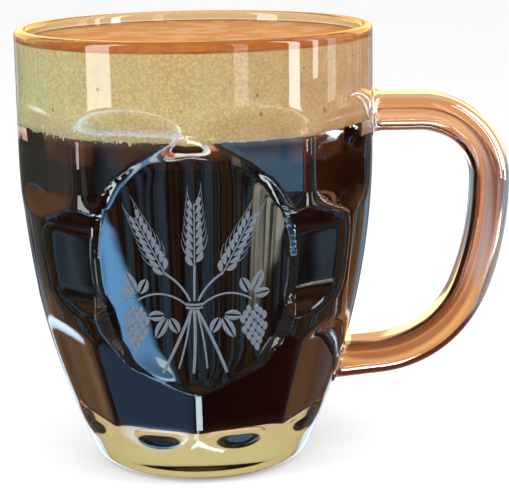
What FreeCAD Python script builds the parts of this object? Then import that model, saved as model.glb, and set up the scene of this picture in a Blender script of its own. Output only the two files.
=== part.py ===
import FreeCAD, Part
import math
import os

import Sketcher

# A pressed-glass dimpled pint mug, filled with dark mild ale under a deep tan head.
# It stands on z = 0 with its axis on Z. The round panel faces -Y and the handle reaches out along +X.
# Lengths are in millimetres and angles in degrees.

SIZES = [
    # name, value, what it sets
    ("height", 124.0, "base to rim"),
    ("rim_radius", 49.8, "outside of the straight band under the rim"),
    ("band_height", 33.4, "rim down to the belly's start, at the middle of the upper row"),
    ("belly_radius", 211.0, "long arc of the side, seen from the side"),
    ("heel_radius", 7.0, "rounding between side and base"),
    ("rim_rounding", 1.5, "outer edge of the rim"),
    ("lip_rounding", 1.3, "inner edge of the rim"),
    ("band_wall", 5.1, "wall where band and belly meet"),
    ("cavity_draft", 3.0, "angle by which the inside opens towards the rim"),
    ("floor_thickness", 14.4, "solid glass under the drink"),
    ("floor_rounding", 12.0, "corner between floor and inside wall"),
    ("punt_radius", 19.0, "hollow under the base"),
    ("punt_depth", 1.4, "hollow under the base"),
    ("root_clearance", 0.7, "plain glass between the blend of a handle root and the dimples beside it"),
    ("dimple_hollow", 250.0, "radius of a dimple across its width"),
    ("dimple_end_radius", 12.0, "radius at a dimple's upper and lower end"),
    ("upper_row_length", 30.4, "length of an upper dimple"),
    ("upper_row_depth", 3.4, "depth of an upper dimple"),
    ("middle_row_drop", 60.0, "rim down to the middle of the middle row"),
    ("middle_row_length", 30.0, "length of a middle dimple"),
    ("middle_row_depth", 3.2, "depth of a middle dimple"),
    ("side_dimple_depth", 1.2, "depth of the dimple opposite the handle"),
    ("lower_row_drop", 95.8, "rim down to the middle of the lower flutes"),
    ("lower_row_length", 37.0, "length of a lower flute"),
    ("lower_row_depth", 2.6, "depth of a lower flute"),
    ("panel_drop", 62.5, "rim down to the middle of the round panel"),
    ("panel_radius", 30.5, "radius of the round panel where its edge starts"),
    ("panel_edge_radius", 30.0, "curve by which the panel's edge spreads outward"),
    ("panel_edge_start", 32.0, "distance of the start of that curve from the axis"),
    ("panel_face_radius", 42.6, "distance of the panel's middle from the axis"),
    ("panel_face_tilt", 6.65, "lean of the panel's face"),
    ("handle_drop", 25.0, "rim down to the middle of the handle's upper run"),
    ("handle_reach", 33.2, "band to the middle of the grip"),
    ("handle_thickness", 10.6, "handle, in the plane of the mug's axis"),
    ("handle_width", 14.4, "handle, across that plane"),
    ("handle_rounding", 4.7, "long edges of the handle"),
    ("shoulder_radius", 19.7, "bend at the top of the handle"),
    ("grip_radius", 89.0, "long curve of the grip"),
    ("grip_sweep", 20.0, "angle that the grip's curve turns through"),
    ("tail_radius", 31.1, "bend at the bottom of the handle"),
    ("tail_slope", 6.0, "slope at which the handle runs back into the wall"),
    ("lower_root_inset", 14.0, "band to the handle's lower end, hidden in the wall"),
    ("upper_root_fillet", 2.4, "blend of handle and wall at the top"),
    ("lower_root_fillet", 1.2, "blend of handle and wall at the bottom"),
    ("head_drop", 3.0, "rim down to the top of the head"),
    ("head_depth", 23.0, "thickness of the head"),
]

ROW_COLUMNS = 4            # dimples of the upper and lower rows between the handle's plane and the far side
OVERSHOOT = 3.0            # how far a cutting form runs past what it cuts
TOUCH = 0.02               # how close a point of an edge lies to a surface that it is on

doc = FreeCAD.newDocument("pint_of_mild")


def make_sheet():
    """The driving sizes, one to a row: name, value and note."""
    sheet = doc.addObject("Spreadsheet::Sheet", "Sizes")
    for row, (name, value, note) in enumerate(SIZES, start=1):
        sheet.set(f"A{row}", name)
        sheet.set(f"B{row}", str(value))
        sheet.setAlias(f"B{row}", name)
        sheet.set(f"C{row}", note)
    doc.recompute()
    return sheet


sheet = make_sheet()

# Heights that follow from the sizes, as expressions of the sheet.
BELLY_START = "(Sizes.height - Sizes.band_height)"
HEAD_TOP = "(Sizes.height - Sizes.head_drop)"
ALE_TOP = "(Sizes.height - Sizes.head_drop - Sizes.head_depth)"
PANEL_MIDDLE = "(Sizes.height - Sizes.panel_drop)"
HANDLE_TOP = "(Sizes.height - Sizes.handle_drop)"
UPPER_ROOT = "(Sizes.rim_radius - Sizes.band_wall / 2)"
LOWER_ROOT = "(Sizes.rim_radius - Sizes.lower_root_inset)"


def beside_root(row, drop, root):
    """Angle from the handle to the middle of a row's first dimple, which lies just clear of this root."""
    below = f"({drop} - Sizes.band_height)"
    wall = f"(Sizes.rim_radius - Sizes.belly_radius + sqrt(Sizes.belly_radius ^ 2 - {below} ^ 2))"
    reach = f"({wall} - Sizes.{row}_row_depth + Sizes.dimple_hollow)"
    half_dimple = f"acos(({wall} ^ 2 + {reach} ^ 2 - Sizes.dimple_hollow ^ 2) / (2 * {wall} * {reach}))"
    half_root = f"(Sizes.handle_width / 2 + Sizes.{root}_fillet + Sizes.root_clearance)"
    return f"({half_dimple} + asin({half_root} / {wall}))"


# Angles of the dimples, measured from the handle: clear of both roots, and evenly spread between them.
FIRST_COLUMN = "max({}; {})".format(
    beside_root("upper", "Sizes.band_height", "upper_root"),
    beside_root("lower", "Sizes.lower_row_drop", "lower_root"),
)
DIMPLE_PITCH = f"((180 deg - 2 * {FIRST_COLUMN}) / {ROW_COLUMNS - 1})"
CUTTER_SPREAD = f"(4 * asin(Sizes.rim_radius * sin({DIMPLE_PITCH} / 2) / Sizes.dimple_hollow))"


def number(expression):
    """The present value of an expression of the sheet."""
    value = sheet.evalExpression(expression)
    return float(getattr(value, "Value", value))


def origin_feature(body, role):
    """A plane or axis of the body's own origin, found by its role."""
    return next(feature for feature in body.Origin.OriginFeatures if feature.Role == role)


def make_body(name):
    body = doc.addObject("PartDesign::Body", name)
    body.Label = name
    return body


class Outline:
    """A sketch drawn edge by edge, each edge joined to the one before it."""

    def __init__(self, body, name, plane):
        self.sketch = body.newObject("Sketcher::SketchObject", name)
        self.sketch.AttachmentSupport = [(plane, "")]
        self.sketch.MapMode = "FlatFace"
        self.edges = 0

    def line(self, start, end, join="Coincident"):
        edge = Part.LineSegment(FreeCAD.Vector(*start, 0), FreeCAD.Vector(*end, 0))
        return self.add(edge, join, 1)

    def arc(self, centre, radius, start_angle, end_angle, join="Tangent"):
        """An arc that runs from start_angle to end_angle, either way round."""
        circle = Part.Circle(FreeCAD.Vector(*centre, 0), FreeCAD.Vector(0, 0, 1), radius)
        low, high = sorted((start_angle, end_angle))
        edge = Part.ArcOfCircle(circle, math.radians(low), math.radians(high))
        return self.add(edge, join, 1 if start_angle < end_angle else 2)

    def add(self, edge, join, first_end):
        """Adds the edge and holds its first end to the last end of the edge before it."""
        index = self.sketch.addGeometry(edge, False)
        if self.edges:
            self.tie(join, index - 1, self.last_end, index, first_end)
        else:
            self.first = (index, first_end)
        self.last_end = 3 - first_end
        self.edges += 1
        return index

    def close(self, join="Coincident"):
        self.tie(join, self.edges - 1, self.last_end, *self.first)

    def tie(self, kind, *places):
        self.sketch.addConstraint(Sketcher.Constraint(kind, *places))

    def bind(self, expression, kind, *places):
        """A constraint whose value is an expression of the sheet."""
        value = number(expression)
        angle = kind == "Angle"
        value = math.radians(value) if angle else value
        index = self.sketch.addConstraint(Sketcher.Constraint(kind, *places, value))
        self.sketch.setExpression(f"Constraints[{index}]", expression)

    def at(self, edge, end, x=None, y=None):
        """Holds one end of an edge, or an arc's centre (end 3), at x and y from the sketch's origin."""
        if x is not None:
            self.bind(x, "DistanceX", -1, 1, edge, end)
        if y is not None:
            self.bind(y, "DistanceY", -1, 1, edge, end)


def polar(centre, radius, angle):
    return (centre[0] + radius * math.cos(math.radians(angle)), centre[1] + radius * math.sin(math.radians(angle)))


def revolve(body, kind, name, outline, axis):
    """A full turn of the outline, added (Revolution) or taken away (Groove)."""
    feature = body.newObject(f"PartDesign::{kind}", name)
    feature.Profile = outline.sketch
    feature.ReferenceAxis = axis
    feature.Angle = 360
    return feature


def inner_tangent(outer_centre, outer_radius, radius, height):
    """Centre, at this height, of an arc that touches the outer arc from inside, and the angle of the touch."""
    across = math.sqrt((outer_radius - radius) ** 2 - (outer_centre[1] - height) ** 2)
    angle = -math.degrees(math.asin((outer_centre[1] - height) / (outer_radius - radius)))
    return (outer_centre[0] + across, height), angle


def outside_outline(body):
    """Half of the mug's outside: base, heel, belly, straight band and rim."""
    rim, top, start = number("Sizes.rim_radius"), number("Sizes.height"), number(BELLY_START)
    belly, heel, lip = (number(f"Sizes.{name}") for name in ("belly_radius", "heel_radius", "rim_rounding"))
    belly_centre = (rim - belly, start)
    heel_centre, touch = inner_tangent(belly_centre, belly, heel, heel)
    outline = Outline(body, "OutsideOutline", origin_feature(body, "YZ_Plane"))
    base = outline.line((0, 0), (heel_centre[0], 0))
    heel_arc = outline.arc(heel_centre, heel, -90, touch)
    belly_arc = outline.arc(belly_centre, belly, touch, 0)
    band = outline.line((rim, start), (rim, top - lip), join="Tangent")
    lip_arc = outline.arc((rim - lip, top - lip), lip, 0, 90)
    across = outline.line((rim - lip, top), (0, top), join="Tangent")
    axis = outline.line((0, top), (0, 0))
    outline.close()
    outline.tie("Coincident", base, 1, -1, 1)
    outline.tie("Horizontal", base)
    outline.tie("Vertical", band)
    outline.tie("Horizontal", across)
    outline.tie("Vertical", axis)
    outline.bind("Sizes.heel_radius", "Radius", heel_arc)
    outline.bind("Sizes.belly_radius", "Radius", belly_arc)
    outline.bind("Sizes.rim_rounding", "Radius", lip_arc)
    outline.at(band, 1, "Sizes.rim_radius", BELLY_START)
    outline.at(axis, 1, y="Sizes.height")
    return outline


def cavity_outline(body):
    """Half of the mug's inside, run past the rim: floor, corner, belly and drafted band."""
    radius = number("Sizes.rim_radius - Sizes.band_wall")
    belly, corner, floor = (number(f"Sizes.{name}") for name in ("belly_radius", "floor_rounding", "floor_thickness"))
    draft, start = number("Sizes.cavity_draft"), number(BELLY_START)
    top = number(f"Sizes.height + {OVERSHOOT}")
    belly_centre = polar((radius, start), belly, 180 - draft)
    corner_centre, touch = inner_tangent(belly_centre, belly, corner, floor + corner)
    mouth = radius + (top - start) * math.tan(math.radians(draft))
    outline = Outline(body, "CavityOutline", origin_feature(body, "YZ_Plane"))
    bottom = outline.line((0, floor), (corner_centre[0], floor))
    corner_arc = outline.arc(corner_centre, corner, -90, touch)
    belly_arc = outline.arc(belly_centre, belly, touch, -draft)
    side = outline.line((radius, start), (mouth, top), join="Tangent")
    across = outline.line((mouth, top), (0, top))
    axis = outline.line((0, top), (0, floor))
    outline.close()
    outline.tie("Horizontal", bottom)
    outline.tie("Horizontal", across)
    outline.tie("PointOnObject", axis, 1, -2)
    outline.bind("Sizes.floor_rounding", "Radius", corner_arc)
    outline.bind("Sizes.belly_radius", "Radius", belly_arc)
    outline.bind("90 - Sizes.cavity_draft", "Angle", side)
    outline.at(side, 1, "Sizes.rim_radius - Sizes.band_wall", BELLY_START)
    outline.at(bottom, 1, "0", "Sizes.floor_thickness")
    outline.at(across, 2, y=f"Sizes.height + {OVERSHOOT}")
    return outline


def dimple(body, name, drop, length, depth, angle):
    """One dimple: part of the skin of a barrel, hollow across and rounded at its ends, sunk in the wall.

    The barrel stands outside the mug and leans with the wall at the row's height; angle is measured
    from the handle.
    """
    hollow, end_radius = number("Sizes.dimple_hollow"), number("Sizes.dimple_end_radius")
    lean = f"asin(({drop} - Sizes.band_height) / Sizes.belly_radius)"
    reach = f"(Sizes.belly_radius + Sizes.dimple_hollow - {depth})"
    run_out = f"sqrt(2 * Sizes.dimple_end_radius * {depth} - {depth} * {depth})"
    straight_half = f"({length} / 2 - {run_out})"

    plane = body.newObject("PartDesign::Plane", f"{name}Plane")
    plane.AttachmentSupport = [(origin_feature(body, "XZ_Plane"), "")]
    plane.MapMode = "FlatFace"
    plane.AttachmentOffset = FreeCAD.Placement(FreeCAD.Vector(), FreeCAD.Rotation(FreeCAD.Vector(0, 1, 0), 1))
    plane.setExpression("AttachmentOffset.Rotation.Angle", angle)

    outline = Outline(body, f"{name}Outline", plane)
    sketch = outline.sketch
    sketch.AttachmentOffset = FreeCAD.Placement(FreeCAD.Vector(), FreeCAD.Rotation(FreeCAD.Vector(0, 0, 1), -1))
    sketch.setExpression("AttachmentOffset.Base.x", f"Sizes.rim_radius - Sizes.belly_radius + {reach} * cos({lean})")
    sketch.setExpression("AttachmentOffset.Base.y", f"{BELLY_START} - {reach} * sin({lean})")
    sketch.setExpression("AttachmentOffset.Rotation.Angle", f"-{lean}")

    half, back = number(straight_half), end_radius - hollow
    face = outline.line((-hollow, half), (-hollow, -half))
    lower = outline.arc((back, -half), end_radius, 180, 270)
    outer = outline.line((back, -half - end_radius), (back, half + end_radius))
    upper = outline.arc((back, half), end_radius, 90, 180, join="Coincident")
    outline.close("Tangent")
    outline.tie("Vertical", outer)
    outline.bind("Sizes.dimple_end_radius", "Radius", lower)
    outline.bind("Sizes.dimple_end_radius", "Radius", upper)
    outline.at(face, 1, "-Sizes.dimple_hollow", straight_half)
    outline.at(face, 2, "-Sizes.dimple_hollow", f"-{straight_half}")
    outline.at(outer, 1, x="Sizes.dimple_end_radius - Sizes.dimple_hollow")
    groove = revolve(body, "Groove", name, outline, (sketch, ["V_Axis"]))
    groove.Midplane = True
    groove.setExpression("Angle", CUTTER_SPREAD)
    return groove


def dimple_row(body, name, drop, columns, first_angle):
    """A row of dimples at the pitch, the same on both sides of the handle's plane."""
    length, depth = (f"Sizes.{name.lower()}_row_{part}" for part in ("length", "depth"))
    for column in range(columns):
        for side, sign in (("Back", ""), ("Front", "-")):
            angle = f"{sign}({first_angle} + {column} * {DIMPLE_PITCH})"
            dimple(body, f"{name}{side}{column + 1}", drop, length, depth, angle)


def panel_cutter():
    """What the round panel takes away: a round form with a spreading edge, less a leaning core."""
    body = make_body("panel_cutter")
    start, edge, radius = (number(f"Sizes.panel_{name}") for name in ("edge_start", "edge_radius", "radius"))
    reach = number(f"Sizes.rim_radius + {OVERSHOOT}")
    spread = -90 - math.degrees(math.asin((reach - start) / edge))
    tip = polar((-start, radius + edge), edge, spread)
    outline = Outline(body, "PanelOutline", origin_feature(body, "YZ_Plane"))
    outline.sketch.setExpression("AttachmentOffset.Base.y", PANEL_MIDDLE)
    inner_end = outline.line((-start, 0), (-start, radius))
    edge_arc = outline.arc((-start, radius + edge), edge, -90, spread, join="Coincident")
    outer_end = outline.line(tip, (-reach, 0))
    middle = outline.line((-reach, 0), (-start, 0))
    outline.close()
    outline.tie("Vertical", inner_end)
    outline.tie("Vertical", outer_end)
    outline.tie("Horizontal", middle)
    outline.bind("Sizes.panel_edge_radius", "Radius", edge_arc)
    outline.at(inner_end, 1, "-Sizes.panel_edge_start", "0")
    outline.at(inner_end, 2, y="Sizes.panel_radius")
    outline.at(edge_arc, 3, x="-Sizes.panel_edge_start")
    outline.at(outer_end, 2, x=f"-(Sizes.rim_radius + {OVERSHOOT})")
    revolve(body, "Revolution", "PanelForm", outline, (outline.sketch, ["H_Axis"]))

    core = body.newObject("PartDesign::SubtractiveCone", "PanelCore")
    half = "(Sizes.panel_radius + Sizes.panel_edge_radius)"
    core.setExpression("Height", f"2 * {half}")
    core.setExpression("Radius1", f"Sizes.panel_face_radius - {half} * tan(Sizes.panel_face_tilt)")
    core.setExpression("Radius2", f"Sizes.panel_face_radius + {half} * tan(Sizes.panel_face_tilt)")
    core.setExpression("AttachmentOffset.Base.z", f"{PANEL_MIDDLE} - {half}")
    core.AttachmentSupport = [(origin_feature(body, "XY_Plane"), "")]
    core.MapMode = "FlatFace"
    doc.recompute()
    return body


def handle_path(body):
    """The middle line of the handle: straight in at the top, over the shoulder, down the grip, round to the tail."""
    top, reach = number(HANDLE_TOP), number("Sizes.rim_radius + Sizes.handle_reach")
    shoulder, grip, tail = (number(f"Sizes.{name}_radius") for name in ("shoulder", "grip", "tail"))
    sweep, slope = number("Sizes.grip_sweep"), number("Sizes.tail_slope")
    upper_root, lower_root = number(UPPER_ROOT), number(LOWER_ROOT)
    shoulder_centre = (reach - shoulder, top - shoulder)
    grip_centre = (reach - grip, top - shoulder)
    tail_centre = polar(grip_centre, grip - tail, -sweep)
    tail_end = polar(tail_centre, tail, slope - 90)
    root = (lower_root, tail_end[1] - (tail_end[0] - lower_root) * math.tan(math.radians(slope)))
    path = Outline(body, "HandlePath", origin_feature(body, "XZ_Plane"))
    run = path.line((upper_root, top), (shoulder_centre[0], top))
    shoulder_arc = path.arc(shoulder_centre, shoulder, 90, 0)
    grip_arc = path.arc(grip_centre, grip, 0, -sweep)
    tail_arc = path.arc(tail_centre, tail, -sweep, slope - 90)
    tail_run = path.line(tail_end, root, join="Tangent")
    path.tie("Horizontal", run)
    path.bind("Sizes.shoulder_radius", "Radius", shoulder_arc)
    path.bind("Sizes.grip_radius", "Radius", grip_arc)
    path.bind("Sizes.tail_radius", "Radius", tail_arc)
    path.at(run, 1, UPPER_ROOT, HANDLE_TOP)
    path.at(shoulder_arc, 3, "Sizes.rim_radius + Sizes.handle_reach - Sizes.shoulder_radius")
    path.at(grip_arc, 3, y=f"{HANDLE_TOP} - Sizes.shoulder_radius")
    path.bind("Sizes.grip_sweep", "Angle", grip_arc)
    path.bind("180 + Sizes.tail_slope", "Angle", tail_run)
    path.at(tail_run, 2, LOWER_ROOT)
    return path.sketch


def handle_section(body):
    """The handle's section where it leaves the wall: a rectangle with well-rounded corners."""
    middle, half_height = number(HANDLE_TOP), number("Sizes.handle_thickness / 2")
    half_width, rounding = number("Sizes.handle_width / 2"), number("Sizes.handle_rounding")
    flat, rise = half_width - rounding, half_height - rounding
    section = Outline(body, "HandleSection", origin_feature(body, "YZ_Plane"))
    section.sketch.setExpression("AttachmentOffset.Base.z", UPPER_ROOT)
    lower = section.line((-flat, middle - half_height), (flat, middle - half_height))
    arcs = [section.arc((flat, middle - rise), rounding, -90, 0)]
    right = section.line((half_width, middle - rise), (half_width, middle + rise), join="Tangent")
    arcs.append(section.arc((flat, middle + rise), rounding, 0, 90))
    upper = section.line((flat, middle + half_height), (-flat, middle + half_height), join="Tangent")
    arcs.append(section.arc((-flat, middle + rise), rounding, 90, 180))
    left = section.line((-half_width, middle + rise), (-half_width, middle - rise), join="Tangent")
    arcs.append(section.arc((-flat, middle - rise), rounding, 180, 270))
    section.close("Tangent")
    for edge, direction in ((lower, "Horizontal"), (right, "Vertical"), (upper, "Horizontal"), (left, "Vertical")):
        section.tie(direction, edge)
    for arc in arcs:
        section.bind("Sizes.handle_rounding", "Radius", arc)
    section.at(lower, 1, y=f"{HANDLE_TOP} - Sizes.handle_thickness / 2")
    section.at(upper, 1, y=f"{HANDLE_TOP} + Sizes.handle_thickness / 2")
    section.at(right, 1, x="Sizes.handle_width / 2")
    section.at(left, 1, x="-Sizes.handle_width / 2")
    return section.sketch


def outside_radius(height):
    """Radius of the mug's outside at a height above the heel, without its dimples."""
    below = max(0.0, number(BELLY_START) - height)
    belly = number("Sizes.belly_radius")
    return number("Sizes.rim_radius") - belly + math.sqrt(belly ** 2 - below ** 2)


def root_edges(shape, lowest, highest):
    """Names of the edges where the handle meets the wall between two heights."""
    half_width = number("Sizes.handle_width / 2")
    names = []
    for index, edge in enumerate(shape.Edges, start=1):
        points = edge.discretize(5)
        if all(
            point.x > 0
            and abs(point.y) < half_width + TOUCH
            and lowest < point.z < highest
            and abs(math.hypot(point.x, point.y) - outside_radius(point.z)) < TOUCH
            for point in points
        ):
            names.append(f"Edge{index}")
    return names


def add_handle(body):
    """Sweeps the handle and blends each of its roots into the wall."""
    pipe = body.newObject("PartDesign::AdditivePipe", "Handle")
    pipe.Profile = handle_section(body)
    pipe.Spine = (handle_path(body), [])
    doc.recompute()
    grip_middle = number(f"{HANDLE_TOP} - Sizes.shoulder_radius")
    base = pipe
    for name, lowest, highest in (
        ("upper_root", grip_middle, number("Sizes.height")),
        ("lower_root", 0.0, grip_middle),
    ):
        fillet = body.newObject("PartDesign::Fillet", name)
        fillet.Base = (base, root_edges(base.Shape, lowest, highest))
        fillet.setExpression("Radius", f"Sizes.{name}_fillet")
        doc.recompute()
        base = fillet


def round_lip(body, cavity):
    """Rounds the rim's inner edge, the smaller of the two circles around its flat top."""
    doc.recompute()
    top = number("Sizes.height")
    circles = [
        (edge.Length, f"Edge{index}")
        for index, edge in enumerate(cavity.Shape.Edges, start=1)
        if all(abs(vertex.Point.z - top) < TOUCH for vertex in edge.Vertexes)
    ]
    lip = body.newObject("PartDesign::Fillet", "Lip")
    lip.Base = (cavity, [min(circles)[1]])
    lip.setExpression("Radius", "Sizes.lip_rounding")
    doc.recompute()


def make_glass():
    """The mug in one piece: turned outside, dimples, round panel, handle, cavity and punt."""
    body = make_body("pint_glass")
    z_axis = (origin_feature(body, "Z_Axis"), [""])
    revolve(body, "Revolution", "Outside", outside_outline(body), z_axis)
    dimple_row(body, "Upper", "Sizes.band_height", ROW_COLUMNS, FIRST_COLUMN)
    between_columns = f"({FIRST_COLUMN} + {DIMPLE_PITCH} / 2)"
    dimple_row(body, "Middle", "Sizes.middle_row_drop", ROW_COLUMNS - 1, between_columns)
    dimple_row(body, "Lower", "Sizes.lower_row_drop", ROW_COLUMNS, FIRST_COLUMN)
    dimple(body, "SideDimple", "Sizes.middle_row_drop", "Sizes.middle_row_length", "Sizes.side_dimple_depth", "180")

    panel = body.newObject("PartDesign::Boolean", "Panel")
    panel.Type = "Cut"
    panel.Group = [panel_cutter()]
    doc.recompute()
    add_handle(body)
    cavity = revolve(body, "Groove", "Cavity", cavity_outline(body), z_axis)
    round_lip(body, cavity)
    revolve(body, "Groove", "Punt", punt_outline(body), z_axis)
    doc.recompute()
    return body


def punt_outline(body):
    """Half of the shallow dome under the base."""
    radius, depth = number("Sizes.punt_radius"), number("Sizes.punt_depth")
    dome = (radius ** 2 + depth ** 2) / (2 * depth)
    outline = Outline(body, "PuntOutline", origin_feature(body, "YZ_Plane"))
    edge_angle = math.degrees(math.asin((dome - depth) / dome))
    axis = outline.line((0, depth), (0, -OVERSHOOT))
    under = outline.line((0, -OVERSHOOT), (radius, -OVERSHOOT))
    rise = outline.line((radius, -OVERSHOOT), (radius, 0))
    arc = outline.arc((0, depth - dome), dome, edge_angle, 90, join="Coincident")
    outline.close()
    outline.tie("Vertical", axis)
    outline.tie("Horizontal", under)
    outline.tie("Vertical", rise)
    outline.tie("PointOnObject", arc, 3, -2)
    outline.at(axis, 1, "0", "Sizes.punt_depth")
    outline.at(rise, 1, "Sizes.punt_radius", f"-{OVERSHOOT}")
    outline.at(rise, 2, y="0")
    return outline


def make_filling(name, lowest, highest):
    """What fills the cavity between two heights, exact to the glass."""
    cavity = make_body(f"{name}_cavity")
    revolve(cavity, "Revolution", f"{name}_inside", cavity_outline(cavity), (origin_feature(cavity, "Z_Axis"), [""]))
    slab = doc.addObject("Part::Cylinder", f"{name}_slab")
    slab.setExpression("Radius", f"Sizes.rim_radius + {OVERSHOOT}")
    slab.setExpression("Height", f"{highest} - {lowest}")
    slab.setExpression("Placement.Base.z", lowest)
    filling = doc.addObject("Part::Common", name)
    filling.Label = name
    filling.Base = cavity
    filling.Tool = slab
    doc.recompute()
    return filling


def check(parts):
    """Stops the build if any object failed or any piece is not one sound solid."""
    failed = [item.Name for item in doc.Objects if {"Invalid", "Error"} & set(item.State)]
    if failed:
        raise RuntimeError(f"objects that failed: {failed}")
    for item in parts:
        shape = item.Shape
        if shape.isNull() or not shape.isValid() or len(shape.Solids) != 1:
            raise RuntimeError(f"{item.Label} is not one valid solid")


def main():
    parts = [
        make_glass(),
        make_filling("ale", "0", ALE_TOP),
        make_filling("head", ALE_TOP, HEAD_TOP),
    ]
    check(parts)
    os.makedirs("parts", exist_ok=True)
    for item in parts:
        item.Shape.exportStep(os.path.join("parts", f"{item.Label}.step"))
        box = item.Shape.BoundBox
        print(f"{item.Label}: {item.Shape.Volume / 1000:.1f} ml, z {box.ZMin:.2f} to {box.ZMax:.2f}")


main()
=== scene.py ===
"""A pint of mild ale: pressed dimpled glass, near-black ale and a deep tan head, in a plain pale studio."""

import math
import random

import bpy
import numpy as np
from mathutils import Matrix, Vector


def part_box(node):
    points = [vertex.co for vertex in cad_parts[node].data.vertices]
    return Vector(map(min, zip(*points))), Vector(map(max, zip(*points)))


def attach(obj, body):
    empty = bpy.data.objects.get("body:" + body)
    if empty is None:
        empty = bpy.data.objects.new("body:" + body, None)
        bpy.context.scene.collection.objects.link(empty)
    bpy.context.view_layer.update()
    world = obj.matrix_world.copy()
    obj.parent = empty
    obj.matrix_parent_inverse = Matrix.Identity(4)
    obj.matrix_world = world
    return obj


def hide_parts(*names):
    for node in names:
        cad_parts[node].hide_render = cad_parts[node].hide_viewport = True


MM = 0.001
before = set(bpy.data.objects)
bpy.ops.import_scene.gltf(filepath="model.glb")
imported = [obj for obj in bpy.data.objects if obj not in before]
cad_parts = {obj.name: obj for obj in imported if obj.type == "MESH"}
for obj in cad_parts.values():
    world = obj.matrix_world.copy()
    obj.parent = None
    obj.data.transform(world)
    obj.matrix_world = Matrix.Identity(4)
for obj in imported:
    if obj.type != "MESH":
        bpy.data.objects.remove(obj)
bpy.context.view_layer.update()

# ---------------------------------------------------------------- sizes, in millimetres and degrees

mug_low, mug_high = (np.array(corner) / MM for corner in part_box("pint_glass"))
ale_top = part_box("ale")[1][2] / MM
head_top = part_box("head")[1][2] / MM

HEIGHT = float(mug_high[2])
RIM = float(-mug_low[1])
HANDLE_REACH = float(mug_high[0]) - RIM      # band to the outside of the grip
BAND = 33.4                                  # rim down to the belly's start
BELLY = 211.0                                # long arc of the side
HEEL = 7.0
RIM_ROUNDING = 1.5
LIP_ROUNDING = 1.3
WALL = 5.1                                   # where band and belly meet
DRAFT = 3.0                                  # angle by which the inside opens upward
FLOOR = float(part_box("ale")[0][2]) / MM
FLOOR_ROUNDING = 12.0
PUNT_RADIUS = 19.0
PUNT_DEPTH = 1.4
BELLY_START = HEIGHT - BAND

DIMPLE_HOLLOW = 250.0
DIMPLE_END = 12.0
FIRST_COLUMN = 32.24                         # angle from the handle to the first dimple's middle
COLUMNS = 4
PITCH = (180 - 2 * FIRST_COLUMN) / (COLUMNS - 1)
# drop of the row's middle from the rim, length and depth of its dimples
UPPER_ROW = (BAND, 30.4, 3.4)
MIDDLE_ROW = (60.0, 30.0, 3.2)
LOWER_ROW = (95.8, 37.0, 2.6)
SIDE_DIMPLE = (60.0, 30.0, 1.2)
RIDGE_SOFTNESS = 1.4                         # how far two faces blend where they meet in a ridge

PANEL_MIDDLE = HEIGHT - 62.5
PANEL_RADIUS = 30.5
PANEL_EDGE = 30.0
PANEL_EDGE_START = 32.0
PANEL_FACE = 42.6
PANEL_TILT = 6.65
PANEL_CORNER = 0.5                           # how far face and edge blend where they meet

PANEL_EASING = 12                            # rounds in which the panel's edge is evened out
EASED_WIDTH = 2.2                            # how far from the edge that reaches

HANDLE_TOP = HEIGHT - 25.0
HANDLE_THICKNESS = 10.6
HANDLE_WIDTH = 14.4
HANDLE_ROUNDING = 4.7
SHOULDER = 19.7
GRIP = 89.0
GRIP_SWEEP = 20.0
TAIL = 31.1
TAIL_SLOPE = 6.0
ROOT_BLENDS = (2.9, 1.8)                     # upper and lower blend of handle and wall
ROOT_SUNK = 2.6                              # how deep the handle's ends lie in the wall
FINE_RUN = 4.0                               # how far past the band the handle's rings lie close together

INTO_WALL = 0.35                             # how far the ale reaches into the glass
FOAM_INTO_WALL = 0.45
ALE_IN_FOAM = 1.5                            # the ale's profile keeps the points below this, over its level
FOAM_SHELF = 0.5                             # the head's hidden underside, above the ale's level
FOAM_CLIMB = 0.35                            # how far the foam clings up the glass
BUBBLE_SINK = 0.05                           # how much less than the foam the bubbles reach into the wall
PRINT_LIFT = 0.05                            # half of the print's thickness, set on the panel's face

LAMPS_AWAY = 0.40                            # metres from the mug's axis

# upright stripes of the dim room, from shade to light
ROOM_STRIPES = [
    (0.28, (0.03, 0.02, 0.02)),
    (0.42, (0.52, 0.28, 0.15)),
    (0.48, (0.05, 0.04, 0.04)),
    (0.56, (0.50, 0.74, 0.98)),
    (0.62, (0.06, 0.06, 0.08)),
    (0.74, (0.85, 0.68, 0.42)),
]
# lit patches of the room: colour, then from, to and softness of the azimuth and of the height, in degrees
ROOM_CARDS = [
    ((0.9, 0.66, 0.46), (-46.0, -41.5, 0.8), (-13.0, -8.8, 0.4)),
    ((0.8, 0.55, 0.36), (-38.5, -36.0, 0.6), (-13.0, -8.8, 0.4)),
    ((1.0, 2.1, 3.2), (33.5, 46.0, 1.0), (-17.0, -9.2, 0.5)),
    ((0.24, 0.24, 0.20), (-140.0, -112.0, 4.0), (-20.0, -6.3, 0.5)),
    ((5.0, 2.0, 0.7), (132.0, 176.0, 4.0), (2.0, 30.0, 3.0)),
    ((5.0, 2.0, 0.7), (-176.0, -132.0, 4.0), (2.0, 30.0, 3.0)),
    ((2.0, 2.5, 3.0), (-176.0, -142.0, 3.0), (-33.0, -22.0, 2.0)),
    ((2.0, 2.5, 3.0), (142.0, 176.0, 3.0), (-33.0, -22.0, 2.0)),
    ((12.0, 15.0, 15.5), (-21.0, 8.0, 2.0), (-35.4, -32.4, 0.5)),
    ((12.0, 15.0, 15.5), (-16.0, 32.0, 2.0), (-62.0, -49.2, 0.8)),
    ((6.0, 7.4, 7.8), (-14.0, 0.0, 1.5), (-50.0, -42.5, 0.8)),
    ((6.0, 7.4, 7.8), (-25.0, -12.0, 1.5), (-43.0, -35.0, 0.8)),
    ((8.0, 11.0, 11.5), (-38.0, -28.0, 2.0), (-34.0, -30.4, 0.4)),
    ((9.0, 0.5, 1.8), (53.0, 55.5, 0.6), (-21.5, -9.2, 0.6)),
]


# ---------------------------------------------------------------- materials


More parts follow.
